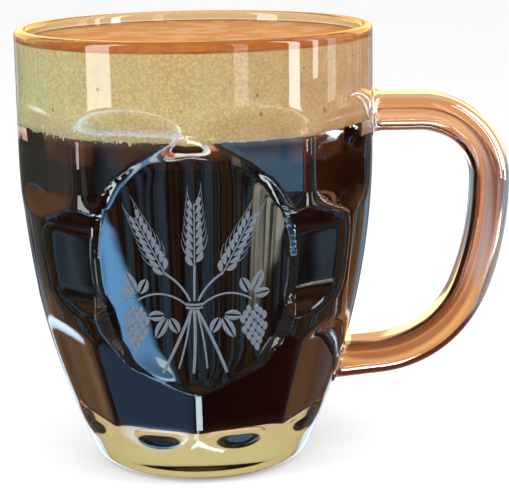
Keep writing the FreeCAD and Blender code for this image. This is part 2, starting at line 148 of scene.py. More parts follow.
class Shade:
    """A number that changes over a surface. Arithmetic on it adds Math nodes."""

    def __init__(self, finish, socket):
        self.finish = finish
        self.socket = socket

    def maths(self, operation, *others, clamp=False):
        settings = {"operation": operation, "use_clamp": clamp}
        return self.finish.node("ShaderNodeMath", settings, dict(enumerate((self, *others))))["Value"]

    def __add__(self, other):
        return self.maths("ADD", other)

    __radd__ = __add__

    def __sub__(self, other):
        return self.maths("SUBTRACT", other)

    def __rsub__(self, other):
        return self * -1 + other

    def __mul__(self, other):
        return self.maths("MULTIPLY", other)

    __rmul__ = __mul__

    def __truediv__(self, other):
        return self.maths("DIVIDE", other)

    def between(self, low, high):
        """0 below low, 1 above high, and a smooth step between them."""
        settings = {"interpolation_type": "SMOOTHSTEP"}
        return self.finish.node("ShaderNodeMapRange", settings, {0: self, 1: low, 2: high})["Result"]


class Finish:
    """A material, world or lamp colour, and the one way in which its nodes are made."""

    def __init__(self, owner):
        self.owner = owner
        owner.use_nodes = True
        self.tree = owner.node_tree
        self.tree.nodes.clear()

    def node(self, kind, settings=None, inputs=None):
        """Makes a node; gives back its outputs by name."""
        made = self.tree.nodes.new(kind)
        for key, value in (settings or {}).items():
            if key == "stops":
                ramp = made.color_ramp
                while len(ramp.elements) < len(value):
                    ramp.elements.new(0.5)
                for element, (place, colour) in zip(ramp.elements, value):
                    element.position = place
                    element.color = (*colour, 1)
            else:
                setattr(made, key, value)
        for key, value in (inputs or {}).items():
            socket = made.inputs[key]
            if isinstance(value, Shade):
                self.tree.links.new(value.socket, socket)
            else:
                socket.default_value = (*value, 1) if socket.type == "RGBA" else value
        return {output.name: Shade(self, output) for output in made.outputs if output.enabled}

    def place(self):
        """The point on the object, and its x, y and z in millimetres."""
        point = self.node("ShaderNodeTexCoord")["Object"]
        parts = self.node("ShaderNodeSeparateXYZ", None, {0: point})
        return point, *(parts[axis] / MM for axis in "XYZ")

    def blend(self, factor, first, second):
        """The first colour where factor is 0, the second where it is 1."""
        settings = {"data_type": "RGBA"}
        return self.node("ShaderNodeMix", settings, {0: factor, 6: first, 7: second})["Result"]

    def pick(self, chooser, off, on):
        """The number off where chooser is 0, and on where it is 1."""
        return off + chooser * (on - off)

    def ramp(self, value, stops):
        return self.node("ShaderNodeValToRGB", {"stops": stops}, {0: value})["Color"]

    def noise(self, point, scale, detail=1.0):
        inputs = {"Vector": point, "Scale": scale, "Detail": detail}
        return self.node("ShaderNodeTexNoise", None, inputs)["Fac"]

    def cells(self, point, scale):
        """Distance from the middle of the nearest of many uneven cells."""
        return self.node("ShaderNodeTexVoronoi", None, {"Vector": point, "Scale": scale})["Distance"]

    def bump(self, height, strength, distance):
        inputs = {"Strength": strength, "Distance": distance, "Height": height}
        return self.node("ShaderNodeBump", None, inputs)["Normal"]

    def principled(self, **inputs):
        """Ends the material in one shader; a socket's name is written with underscores."""
        named = {key.replace("_", " "): value for key, value in inputs.items()}
        return self.surface(self.node("ShaderNodeBsdfPrincipled", None, named)["BSDF"])

    def surface(self, shader):
        """Ends a material in this shader, and gives back the material."""
        self.node("ShaderNodeOutputMaterial", None, {"Surface": shader})
        return self.owner


def new_finish(name):
    return Finish(bpy.data.materials.new(name))


# painted light across the handle, from its inner edge to its outer edge: reflected amber, painted shade
# towards the inner edge, and painted highlight and reflection bands
UPPER_PAINTED_BANDS = [
    (0.00, (0.50, 0.20, 0.07)),
    (0.16, (0.74, 0.34, 0.14)),
    (0.30, (0.62, 0.25, 0.09)),
    (0.44, (0.88, 0.52, 0.28)),
    (0.56, (0.78, 0.40, 0.18)),
    (0.78, (0.72, 0.32, 0.12)),
    (1.00, (0.70, 0.30, 0.12)),
]
GRIP_PAINTED_BANDS = [
    (0.00, (0.30, 0.13, 0.07)),
    (0.14, (0.50, 0.20, 0.09)),
    (0.28, (0.66, 0.27, 0.12)),
    (0.40, (0.30, 0.16, 0.13)),
    (0.55, (0.50, 0.42, 0.46)),
    (0.75, (0.70, 0.58, 0.62)),
    (1.00, (0.66, 0.42, 0.32)),
]
LOWER_PAINTED_BANDS = [
    (0.00, (0.17, 0.05, 0.02)),
    (0.25, (0.24, 0.07, 0.025)),
    (0.45, (0.30, 0.09, 0.03)),
    (0.56, (0.92, 0.52, 0.20)),
    (0.70, (0.66, 0.29, 0.09)),
    (1.00, (0.62, 0.26, 0.08)),
]


def pressed_glass():
    """Clear beside the head; amber below and at the rim and straw in the base, a painted reflection of warm
    surroundings; along the handle, painted bands of shade, highlight and reflected amber and grey.
    """
    f = new_finish("pressed_glass")
    point, x, _, z = f.place()
    # painted reflection: the amber lower body, straw base and amber rim band stand in for warm surroundings
    # seen in clear glass
    body = f.blend(z.between(7.0, 19.0), (0.64, 0.56, 0.25), (0.66, 0.40, 0.24))
    body = f.blend(z.between(95.5, 97.0), body, (0.98, 0.94, 0.87))
    body = f.blend(z.between(120.8, 121.8), body, (0.74, 0.47, 0.22))
    across = handle_across(f, x, z) / HANDLE_THICKNESS + 0.5
    # painted shade, highlights and reflections across the handle, by its stretch
    painted_handle_bands = f.blend(z.between(78.0, 92.0), f.ramp(across, GRIP_PAINTED_BANDS), f.ramp(across, UPPER_PAINTED_BANDS))
    painted_handle_bands = f.blend(z.between(44.0, 56.0), f.ramp(across, LOWER_PAINTED_BANDS), painted_handle_bands)
    colour = f.blend(x.between(RIM - 1.0, RIM + 2.0), body, painted_handle_bands)
    # the body's lower right, beside the handle, takes the same painted handle bands
    colour = f.blend(1 - z.between(44.0, 50.0), colour, f.blend(x.between(38.0, 41.0), colour, painted_handle_bands))
    return f.principled(
        Base_Color=colour,
        Roughness=0.012 + (1 - z.between(1.6, 3.4)) * 0.12,
        IOR=1.5,
        Transmission_Weight=1.0,
        Normal=f.bump(f.noise(point, 90.0), 0.05, 0.0006),
    )


def handle_across(f, x, z):
    """Distance outward from the handle's middle line, by its four stretches."""
    shoulder, grip, tail = handle_centres()

    def beyond(centre, radius):
        across, along = x - centre[0], z - centre[1]
        return (across * across + along * along).maths("SQRT") - radius

    run = f.pick(x.maths("LESS_THAN", shoulder[0]), beyond(shoulder, SHOULDER), z - HANDLE_TOP)
    grip_end = grip[1] - GRIP * math.sin(math.radians(GRIP_SWEEP))
    lower = f.pick(z.maths("LESS_THAN", grip_end), beyond(grip, GRIP), beyond(tail, TAIL))
    return f.pick(z.maths("GREATER_THAN", shoulder[1]), lower, run)


def dark_ale():
    """Near-black ale, with a painted ruby glow low on the handle's side, where light would come through."""
    f = new_finish("dark_ale")
    _, x, _, z = f.place()
    # painted light: a ruby glow low on the handle's side
    painted_ruby_glow = x.between(-10.0, 40.0) * (1 - z.between(15.0, 60.0))
    colour = f.blend(painted_ruby_glow, (0.004, 0.002, 0.002), (0.022, 0.003, 0.004))
    return f.principled(Base_Color=colour, Roughness=0.4, Specular_IOR_Level=0.05)


def tan_foam():
    """Fine foam: bubble cells at two scales, and a colour that runs from straw to tan, with a painted tint of
    the surrounding light from side to side.
    """
    f = new_finish("tan_foam")
    point, x, _, z = f.place()
    fine = f.cells(point, 2300.0)
    froth = f.cells(point, 1100.0)
    drift = f.noise(point, 130.0, 3.0)
    # painted tint of the surrounding light: greenish on the left, darker and redder tan towards the handle
    side = f.blend(x.between(-45.0, -8.0), (0.74, 0.86, 0.50), (0.97, 0.80, 0.42))
    side = f.blend(x.between(0.0, 46.0), side, (0.78, 0.44, 0.25))
    pale_low = (1 - z.between(ale_top - 0.5, ale_top + 6.0)) * (1 - x.between(-20.0, 20.0))
    side = f.blend(pale_low * 0.4, side, (0.80, 0.80, 0.60))
    crown = z.between(head_top - 0.45, head_top - 0.2)
    colour = f.blend(crown, side, (0.52, 0.21, 0.045))
    grain = (fine.between(0.1, 0.75) * 0.5 + froth.between(0.25, 0.7) * 0.5) * (1 - crown * 0.8)
    colour = f.blend(grain * 0.6, colour, (0.50, 0.36, 0.16))
    colour = f.blend(drift.between(0.4, 0.65) * 0.2, colour, (0.92, 0.78, 0.46))
    return f.principled(
        Base_Color=colour,
        Roughness=0.75,
        Specular_IOR_Level=0.25,
        Normal=f.bump(fine * -0.6 + froth * -0.9, 0.6, 0.0004),
    )


def bubble_skin(name, light, dark):
    """The skin of bubbles that lie against the glass."""
    f = new_finish(name)
    point, *_ = f.place()
    colour = f.blend(f.noise(point, 260.0).between(0.4, 0.6), light, dark)
    return f.principled(Base_Color=colour, Roughness=0.4)


def frosted_mark():
    """The matt, grey-blue print on the round panel."""
    f = new_finish("frosted_mark")
    point, *_ = f.place()
    frost = f.noise(point, 2500.0, 2.0).between(0.3, 0.7)
    colour = f.blend(frost, (0.115, 0.14, 0.17), (0.17, 0.20, 0.245))
    return f.principled(Base_Color=colour, Roughness=0.6, Specular_IOR_Level=0.2)


# ---------------------------------------------------------------- mesh tools


def arc(centre, radius, start, end, steps):
    """Points on an arc in the plane of the mug's profile, both ends included."""
    return [
        (centre[0] + radius * math.cos(math.radians(a)), centre[1] + radius * math.sin(math.radians(a)))
        for a in np.linspace(start, end, steps)
    ]


def straight(start, end, steps):
    """Points from start to end, both included."""
    return [tuple(point) for point in np.linspace(start, end, steps)]


def make_piece(name, vertices, faces, material):
    """A smooth mesh from vertices in millimetres."""
    mesh = bpy.data.meshes.new(name)
    mesh.from_pydata((np.asarray(vertices, float) * MM).tolist(), [], faces)
    mesh.shade_smooth()
    mesh.materials.append(material)
    piece = bpy.data.objects.new(name, mesh)
    bpy.context.scene.collection.objects.link(piece)
    return piece


def grid_faces(rows, columns, first=0):
    """Quads between closed rings; each next ring lies on the left of the last one's direction."""
    ring = np.arange(columns)
    after = (ring + 1) % columns
    start = first + np.arange(rows - 1)[:, None] * columns
    quads = np.stack([start + ring, start + after, start + columns + after, start + columns + ring], axis=-1)
    return quads.reshape(-1, 4).tolist()


def turned(name, radii, heights, angles, material):
    """A closed form with rings of vertices, whose first and last points lie on the axis.

    radii is rows by angles; heights has one value for each row, or the same shape as radii.
    """
    heights = np.broadcast_to(np.asarray(heights, float).reshape(len(radii), -1), radii.shape)
    rings = np.stack([radii * np.cos(angles), radii * np.sin(angles), heights], axis=-1)[1:-1]
    columns = len(angles)
    vertices = [(0, 0, float(heights[0, 0])), *rings.reshape(-1, 3), (0, 0, float(heights[-1, 0]))]
    faces = grid_faces(len(rings), columns, 1)
    last = len(vertices) - 1
    for column in range(columns):
        after = (column + 1) % columns
        faces.append((0, 1 + after, 1 + column))
        faces.append((last, last - columns + column, last - columns + after))
    return make_piece(name, vertices, faces, material)


def applied(piece):
    """The piece with its modifiers made part of its mesh."""
    graph = bpy.context.evaluated_depsgraph_get()
    mesh = bpy.data.meshes.new_from_object(piece.evaluated_get(graph))
    piece.modifiers.clear()
    piece.data = mesh
    return piece


# ---------------------------------------------------------------- the mug


def inner_tangent(outer_centre, outer_radius, radius, height):
    """Centre, at this height, of an arc that touches the outer one from inside, and the angle there."""
    rise = outer_centre[1] - height
    across = math.sqrt((outer_radius - radius) ** 2 - rise ** 2)
    return (outer_centre[0] + across, height), -math.degrees(math.asin(rise / (outer_radius - radius)))


def cavity_profile(grow=0.0):
    """The inside from the middle of the floor up to the rim, moved outward by grow."""
    mouth_radius = RIM - WALL
    centre = (mouth_radius - BELLY * math.cos(math.radians(DRAFT)),
              BELLY_START + BELLY * math.sin(math.radians(DRAFT)))
    corner, touch = inner_tangent(centre, BELLY, FLOOR_ROUNDING, FLOOR + FLOOR_ROUNDING)
    top = (mouth_radius + BAND * math.tan(math.radians(DRAFT)), HEIGHT)
    floor = straight((0, FLOOR - grow), (corner[0], FLOOR - grow), 4)
    bend = arc(corner, FLOOR_ROUNDING + grow, -90, touch, 8)
    belly = arc(centre, BELLY + grow, touch, -DRAFT, 13)
    band = straight((mouth_radius + grow, BELLY_START), (top[0] + grow, HEIGHT), 4)
    return floor + bend[1:] + belly[1:] + band[1:]


def outside_profile():
    """The outside from the middle of the base to the rim's top, in two parts: with dimples and above them."""
    centre = (RIM - BELLY, BELLY_START)
    heel, touch = inner_tangent(centre, BELLY, HEEL, HEEL)
    dome = (PUNT_RADIUS ** 2 + PUNT_DEPTH ** 2) / (2 * PUNT_DEPTH)
    spread = math.degrees(math.asin(PUNT_RADIUS / dome))
    punt = arc((0, PUNT_DEPTH - dome), dome, 90, 90 - spread, 8)
    stand = straight((PUNT_RADIUS, 0), (heel[0], 0), 4)
    foot = arc(heel, HEEL, -90, touch, 10)
    belly = arc(centre, BELLY, touch, 0, 158)
    band = straight((RIM, BELLY_START), (RIM, BELLY_START + 17.0), 20)
    above = straight(band[-1], (RIM, HEIGHT - RIM_ROUNDING), 4)
    rim = arc((RIM - RIM_ROUNDING, HEIGHT - RIM_ROUNDING), RIM_ROUNDING, 0, 90, 7)
    return punt + stand[1:] + foot[1:] + belly[1:] + band[1:], above[1:] + rim[1:]


def rounded_mouth(inside):
    """The inside profile from the rim down, with its upper edge rounded."""
    top = inside[-1]
    slope = math.radians(DRAFT)
    centre = (top[0] + LIP_ROUNDING * (1 - math.sin(slope)) / math.cos(slope), HEIGHT - LIP_ROUNDING)
    lip = arc(centre, LIP_ROUNDING, 90, 180 - DRAFT, 6)
    return lip + [point for point in reversed(inside) if point[1] < lip[-1][1] - 0.5]


def first_crossing(reaches, low, high):
    """The least radius at which reaches(radius) turns negative; infinity where it never does."""
    low, high = np.broadcast_arrays(low, high)
    missed = reaches(high) >= 0
    low, high = low.copy(), high.copy()
    for _ in range(22):
        middle = (low + high) / 2
        inside = reaches(middle) < 0
        high = np.where(inside, middle, high)
        low = np.where(inside, low, middle)
    return np.where(missed, np.inf, high)


def dimple_radius(angle, height, row):
    """Radius at which a barrel-shaped dimple meets the ray at an angle from its middle."""
    drop, length, depth = row
    lean = math.asin((drop - BAND) / BELLY)
    reach = BELLY + DIMPLE_HOLLOW - depth
    axis_radius = RIM - BELLY + reach * math.cos(lean)
    axis_height = BELLY_START - reach * math.sin(lean)
    half = length / 2 - math.sqrt(2 * DIMPLE_END * depth - depth ** 2)

    def outside_barrel(radius):
        out = radius * np.cos(angle) - axis_radius
        rise = height - axis_height
        along = np.abs(out * math.sin(lean) + rise * math.cos(lean)) - half
        across = np.hypot(out * math.cos(lean) - rise * math.sin(lean), radius * np.sin(angle))
        end = np.sqrt(np.maximum(DIMPLE_END ** 2 - np.maximum(along, 0) ** 2, 0)) - DIMPLE_END
        return np.where(along > DIMPLE_END, 1.0, across - DIMPLE_HOLLOW - end)

    return first_crossing(outside_barrel, np.full_like(height, 20.0), np.full_like(height, RIM + 6.0))


def panel_radius(angle, height):
    """Radius of the round panel's face and of its spreading edge, at an angle from its middle."""
    rise = height - PANEL_MIDDLE

    def outside_edge(radius):
        out = radius * np.cos(angle) - PANEL_EDGE_START
        edge = PANEL_RADIUS + PANEL_EDGE - np.sqrt(np.maximum(PANEL_EDGE ** 2 - np.maximum(out, 0) ** 2, 0))
        return np.where(out < 0, 1.0, np.hypot(radius * np.sin(angle), rise) - edge)

    face = PANEL_FACE + rise * math.tan(math.radians(PANEL_TILT))
    edge = first_crossing(outside_edge, np.full_like(height, 20.0), np.full_like(height, RIM + 3.0))
    return -soft_least(-face, -edge, PANEL_CORNER)


def soft_least(first, second, softness):
    """The lesser of two radii, blended where they are nearly equal."""
    near = np.maximum(softness - np.abs(first - second), 0) / softness
    with np.errstate(invalid="ignore"):
        near = np.where(np.isfinite(first - second), near, 0)
    return np.minimum(first, second) - near ** 2 * softness / 4


def around(angles, middle):
    """Angles measured from middle, up to half a turn either way."""
    return (angles - math.radians(middle) + math.pi) % (2 * math.pi) - math.pi


def with_dimples(radii, heights, angles):
    """Sinks every dimple and the panel into the turned outside.

    Gives back the radii, and how near each point is to the panel's edge: 1 on it, 0 away from it.
    """
    height = np.broadcast_to(heights[:, None], radii.shape)
    angle = np.broadcast_to(angles[None, :], radii.shape)
    between = FIRST_COLUMN + PITCH / 2
    placed = [(SIDE_DIMPLE, 180.0)]
    for row, first, columns in (
        (UPPER_ROW, FIRST_COLUMN, COLUMNS),
        (MIDDLE_ROW, between, COLUMNS - 1),
        (LOWER_ROW, FIRST_COLUMN, COLUMNS),
    ):
        placed += [(row, side * (first + column * PITCH)) for column in range(columns) for side in (1, -1)]
    radii = radii.copy()
    for row, middle in placed:
        off = around(angle, middle)
        rise = np.abs(height - (HEIGHT - row[0]))
        # a crossing is looked for only where this dimple can reach
        near = (np.abs(off) < math.radians(32)) & (rise < row[1] / 2 + 6)
        radii[near] = soft_least(radii[near], dimple_radius(off[near], height[near], row), RIDGE_SOFTNESS)
    off = around(angle, -90)
    near = (np.abs(off) < math.radians(60)) & (np.abs(height - PANEL_MIDDLE) < PANEL_RADIUS + 8)
    panel = panel_radius(off[near], height[near])
    edge = np.zeros_like(radii)
    edge[near] = np.clip(1.6 - np.abs(radii[near] - panel) / EASED_WIDTH, 0, 1)
    radii[near] = soft_least(radii[near], panel, RIDGE_SOFTNESS)
    return radii, edge


def ring_angles():
    """Angles of the vertices of a ring: closer together over the panel and where the dimples' ridges run."""
    stops = [0.0] + [FIRST_COLUMN + step * PITCH / 2 for step in range(-1, 2 * COLUMNS)] + [180.0]
    halves = []
    for span, ease in ((1.25, 0.5), (0.56, 0.2)):
        half = []
        for low, high in zip(stops, stops[1:]):
            front = 45 < (low + high) / 2 < 135
            steps = max(2, round((high - low) / (span if front else 1.25)))
            share = np.arange(steps) / steps
            half += list(low + (high - low) * (share - ease * np.sin(2 * math.pi * share) / (2 * math.pi)))
        halves.append(half)
    back, front = halves
    return np.radians(back + [180.0] + [360 - angle for angle in reversed(front[1:])])


def eased(places, strength, rounds):
    """Evens out a closed grid of points where strength is more than 0."""
    places = places.copy()
    for _ in range(rounds):
        beside = (np.roll(places, 1, axis=1) + np.roll(places, -1, axis=1)) / 2
        between = places.copy()
        between[1:-1] = (places[:-2] + places[2:]) / 2
        places += strength[..., None] * 0.5 * ((beside + between) / 2 - places)
    return places


def mug_body(material):
    """The turned form with its dimples, panel and cavity, as one closed mesh."""
    dimpled, plain = outside_profile()
    profile = np.array(dimpled + plain + rounded_mouth(cavity_profile()))
    angles = ring_angles()
    radii = np.repeat(profile[:, :1], len(angles), axis=1)
    below = slice(0, len(dimpled))
    radii[below], edge = with_dimples(radii[below], profile[below, 1], angles)
    body = turned("mug", radii, profile[:, 1], angles, material)
    places = np.empty(len(body.data.vertices) * 3, np.float32)
    body.data.vertices.foreach_get("co", places)
    grid = places[3:-3].reshape(len(profile) - 2, len(angles), 3)
    grid[: len(edge) - 1] = eased(grid[: len(edge) - 1], edge[1:], PANEL_EASING)
    body.data.vertices.foreach_set("co", places)
    return body


def handle_centres():
    """Centres of the handle's shoulder, grip and tail arcs, in the plane y = 0."""
    reach = RIM + HANDLE_REACH - HANDLE_THICKNESS / 2
    shoulder = (reach - SHOULDER, HANDLE_TOP - SHOULDER)
    grip = (reach - GRIP, shoulder[1])
    sweep = math.radians(GRIP_SWEEP)
    tail = (grip[0] + (GRIP - TAIL) * math.cos(sweep), grip[1] - (GRIP - TAIL) * math.sin(sweep))
    return shoulder, grip, tail


def outside_radius(height):
    """Radius of the outside at a height, without dimples."""
    below = np.maximum(BELLY_START - height, 0)
    return RIM - BELLY + np.sqrt(BELLY ** 2 - below ** 2)


def handle_line():
    """Points of the handle's middle line, with the outward direction at each."""
    shoulder, grip, tail = handle_centres()
    start, clear = (RIM - ROOT_SUNK, HANDLE_TOP), (RIM + FINE_RUN, HANDLE_TOP)
    run = straight(start, clear, 20) + straight(clear, (shoulder[0], HANDLE_TOP), 8)[1:]
    line = [(point, 90.0) for point in run]
    for centre, radius, first, last, steps in (
        (shoulder, SHOULDER, 90.0, 0.0, 30),
        (grip, GRIP, 0.0, -GRIP_SWEEP, 24),
        (tail, TAIL, -GRIP_SWEEP, TAIL_SLOPE - 90.0, 30),
    ):
        turns = np.linspace(first, last, steps)[1:]
        line += zip(arc(centre, radius, first, last, steps)[1:], turns)
    (x, z), turn = line[-1]
    end = outside_radius(z) - ROOT_SUNK - 0.6
    drop = (x - end) * math.tan(math.radians(TAIL_SLOPE))
    return line + [(point, turn) for point in straight((x, z), (end, z - drop), 26)[1:]]


def section_points():
    """The handle's section: across its width, and outward."""
    flat, rise = HANDLE_WIDTH / 2 - HANDLE_ROUNDING, HANDLE_THICKNESS / 2 - HANDLE_ROUNDING
    corners = ((flat, rise), (-flat, rise), (-flat, -rise), (flat, -rise))
    return np.array([
        point
        for quarter, corner in enumerate(corners)
        for point in arc(corner, HANDLE_ROUNDING, 90 * quarter, 90 * quarter + 90, 11)
    ])


def handle(material):
    """The handle, spread at each root so that it runs smoothly into the wall."""
    outline = section_points()
    count = len(outline)
    along = np.roll(outline, -1, axis=0) - np.roll(outline, 1, axis=0)
    push = np.stack([along[:, 1], -along[:, 0]], axis=1)
    push /= np.linalg.norm(push, axis=1)[:, None]
    shoulder = handle_centres()[0]

    def ring(x, z, turn, spread):
        grown = outline + push * spread[:, None]
        out, up = math.cos(math.radians(turn)), math.sin(math.radians(turn))
        return np.stack([x + out * grown[:, 1], grown[:, 0], z + up * grown[:, 1]], axis=1)

    rings = []
    for (x, z), turn in handle_line():
        blend = ROOT_BLENDS[0] if z > shoulder[1] else ROOT_BLENDS[1]
        plain = ring(x, z, turn, np.zeros(count))
        clear = np.hypot(plain[:, 0], plain[:, 1]) - outside_radius(plain[:, 2])
        left = np.clip(blend - clear, 0, blend * 0.93)
        rings.append(ring(x, z, turn, blend - np.sqrt(blend ** 2 - left ** 2)))
    vertices = np.array(rings).reshape(-1, 3)
    faces = [face[::-1] for face in grid_faces(len(rings), count)]
    faces.append(list(range(count)))
    faces.append(list(range(len(vertices) - count, len(vertices)))[::-1])
    return make_piece("handle", vertices, faces, material)


def belongs(piece, node=None):
    """Hides the CAD part that a piece replaces, if one is given, and hangs the piece under the root body."""
    if node:
        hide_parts(node)
    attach(piece, "root")
    return piece


def glass_mug():
    """Body and handle joined into one skin."""
    material = pressed_glass()
    body = mug_body(material)
    grip = handle(material)
    join = body.modifiers.new("join", "BOOLEAN")
    join.operation = "UNION"
    join.solver = "MANIFOLD"
    join.object = grip
    applied(body)
    body.data.shade_smooth()
    bpy.data.objects.remove(grip)
    body.name = "glass_mug"
    return belongs(body, "pint_glass")


# ---------------------------------------------------------------- the print on the panel


def bent(start, end, sag, steps):
    """A curve from start to end that swings aside by sag."""
    start, end = np.array(start, float), np.array(end, float)
    share = np.linspace(0, 1, steps)[:, None]
    side = np.array([end[1] - start[1], start[0] - end[0]]) / np.linalg.norm(end - start)
    return start + (end - start) * share + side * sag * 4 * share * (1 - share)


def blade(path, width, shape):
    """A flat stroke along a path on the panel: its vertices and faces.

    shape gives the share of the width at each share of the length.
    """
    path = np.array(path, float)
    along = np.gradient(path, axis=0)
    along /= np.linalg.norm(along, axis=1)[:, None]
    side = np.stack([along[:, 1], -along[:, 0]], axis=1)
    half = np.maximum(width / 2 * shape(np.linspace(0, 1, len(path))), 0.03)
    across = (path[:, None, :] + side[:, None, :] * half[:, None, None] * np.array([-1, 0, 1])[None, :, None])
    lean = math.tan(math.radians(PANEL_TILT))
    rings = []
    for points, lift in ((across, PRINT_LIFT), (across[:, ::-1], -PRINT_LIFT)):
        radius = PANEL_FACE + points[..., 1] * lean
        angle = points[..., 0] / radius
        radius = radius + lift
        place = (radius * np.sin(angle), -radius * np.cos(angle), PANEL_MIDDLE + points[..., 1])
        rings.append(np.stack(place, axis=-1))
    rows = np.concatenate(rings, axis=1)
    faces = grid_faces(len(rows), 6)
    faces.append([5, 4, 3, 2, 1, 0])
    last = 6 * (len(rows) - 1)
    faces.append([last + step for step in range(6)])
    return rows.reshape(-1, 3), faces


def plump(share):
    """The width of a grain or a leaf along its length."""
    return np.sin(math.pi * np.clip(share, 0, 1)) ** 0.75


def slender(share):
    return np.ones_like(share)


def tapered(share):
    return 1 - 0.8 * share


def turned_point(base, lean, length, aside=0.0):
    """The point at a length from base, in a direction that leans from upright, and aside from it."""
    lean = math.radians(lean)
    return (base[0] + length * math.sin(lean) + aside * math.cos(lean),
            base[1] + length * math.cos(lean) - aside * math.sin(lean))


def barley_ear(base, lean):
    """Two rows of grains up a stalk, each with its beard."""
    strokes = []
    for step in range(8):
        for side in (-1, 1):
            root = turned_point(base, lean, 2.2 * step + 1.0 * (side > 0), 0.35 * side)
            spread = lean + side * (30 - 1.8 * step)
            tip = turned_point(root, spread, 3.5 - 0.10 * step)
            strokes.append(blade(bent(root, tip, 0.35 * side, 9), 1.45 - 0.05 * step, plump))
            start = turned_point(root, spread, 3.8 - 0.10 * step)
            end = turned_point(start, lean + side * (16 - 1.5 * step), 4.2 - 0.1 * step)
            strokes.append(blade(bent(start, end, 0.3 * side, 6), 0.26, tapered))
    strokes.append(blade(bent(base, turned_point(base, lean, 17.0), 0.0, 10), 0.34, slender))
    return strokes


def hop_cone(base, lean):
    """Pointed scales set like tiles, narrowing to the tip."""
    strokes = []
    for row, count in enumerate((2, 3, 4, 3, 4, 3, 2, 1)):
        for place in range(count):
            aside = (place - (count - 1) / 2) * (2.35 - 0.05 * row)
            root = turned_point(base, lean, 1.55 * row - 0.16 * abs(aside) ** 1.3, aside)
            tip = turned_point(root, lean - aside * 3.0, 2.55)
            strokes.append(blade(bent(root, tip, 0.0, 9), 1.5, plump))
    return strokes


def hop_leaf(base, lean):
    """Three lobes, each in two halves."""
    strokes = []
    for spread, length in ((-55, 5.6), (0, 7.6), (55, 5.6)):
        for side in (-1, 1):
            root = turned_point(base, lean + spread, 1.0, 0.22 * side)
            tip = turned_point(base, lean + spread, length, 0.16 * side)
            strokes.append(blade(bent(root, tip, 0.7 * side, 10), 1.15, plump))
    return strokes


def barley_and_hops():
    """A sheaf of three ears between two hop cones, on the round panel."""
    strokes = []
    for foot, head, lean in ((5.2, -7.6, -27), (-0.4, 0.3, 1), (-5.6, 7.8, 28)):
        top = (head, 1.2 if lean != 1 else 3.4)
        strokes.append(blade(bent((foot * 1.6, -27.0), (foot * 0.14, -8.9), 0.3, 12), 0.8, slender))
        strokes.append(blade(bent((head * 0.14, -6.4), top, -lean * 0.03, 12), 0.6, slender))
        strokes += barley_ear(top, lean)
    for foot in (-4.6, 3.0):
        strokes.append(blade(bent((foot, -25.6), (foot * 0.2, -8.9), 0.4, 10), 0.5, slender))
    for rise in (-8.2, -7.2):
        strokes.append(blade(bent((-2.2, rise), (2.2, rise), 0.3, 7), 0.6, slender))
    for side in (-1, 1):
        strokes.append(blade(bent((1.8 * side, -7.7), (15.4 * side, -6.6), -2.6 * side, 14), 0.5, slender))
        strokes += hop_cone((15.6 * side, -8.4), 180 - 6 * side)
        strokes += hop_leaf((15.2 * side, -5.6), 28 * side)
        strokes += hop_leaf((7.0 * side, -10.4), 152 * side)
    vertices, faces = [], []
    for points, sides in strokes:
        faces += [[len(vertices) + corner for corner in face] for face in sides]
        vertices += points.tolist()
    return belongs(make_piece("barley_print", vertices, faces, frosted_mark()))


# ---------------------------------------------------------------- the drink


def even_angles(count):
    """Angles of a ring of evenly spaced points."""
    return np.arange(count) * 2 * math.pi / count


def ale_fill():
    """The ale, reaching just into the wall.

    Known fault: the last profile point kept is where band and belly meet, so the ale ends there, about 7 mm
    short of the level that it should reach inside the head.
    """
    angles = even_angles(160)
    profile = [point for point in cavity_profile(INTO_WALL) if point[1] < ale_top + ALE_IN_FOAM]
    top = profile[-1][1]
    profile = np.array(profile + [(profile[-1][0] / 2, top), (0, top)])
    radii = np.repeat(profile[:, :1], len(angles), axis=1)
    piece = turned("ale_fill", radii, profile[:, 1], angles, dark_ale())
    return belongs(piece, "ale")


def ripples(angles, seed, waves):
    """A periodic uneven line, between -1 and 1."""
    draw = random.Random(seed)
    line = sum(strength * np.sin(wave * angles + draw.uniform(0, 2 * math.pi)) for wave, strength in waves)
    return line / sum(strength for _, strength in waves)


def foam_head():
    """The head: a slightly crowned top, sides pressed to the glass and an uneven lower edge."""
    angles = even_angles(300)
    wall = np.array(cavity_profile(FOAM_INTO_WALL))
    fringe = [(3, 0.5), (7, 0.5), (19, 0.4), (41, 0.5), (67, 0.5), (97, 0.5), (131, 0.4)]
    low = ale_top - 0.3 + 0.45 * ripples(angles, 4, fringe)
    rings = []

    def add(radius, height):
        rings.append([np.broadcast_to(value, angles.shape) for value in (radius, height)])

    def wall_radius(height):
        return np.interp(height, wall[:, 1], wall[:, 0])

    under = ale_top + FOAM_SHELF
    add(0.0, under)
    add(20.0, under)
    add(wall_radius(ale_top) - 3.0, under)
    add(wall_radius(low) - 0.3, low - 0.05)
    for share in np.linspace(0, 1, 26):
        height = low + (head_top + FOAM_CLIMB - low) * share
        relief = 0.05 * ripples(angles, 20 + int(share * 25), [(37, 1), (61, 1), (97, 1)])
        add(wall_radius(height) + relief, height)
    edge = float(wall_radius(head_top))
    for share in np.linspace(0.985, 0.0, 34)[:-1]:
        radius = edge * share
        climb = FOAM_CLIMB * math.exp(-(edge - radius) / 0.9)
        waves = ripples(angles + share * 2, 60, [(2, 1), (3, 0.8), (5, 0.6)])
        add(radius, head_top + climb - 0.15 * share + 0.14 * waves * math.sin(math.pi * share))
    add(0.0, head_top)
    radii, heights = np.array(rings).transpose(1, 0, 2)
    return belongs(turned("foam_head", radii, heights, angles, tan_foam()), "head")


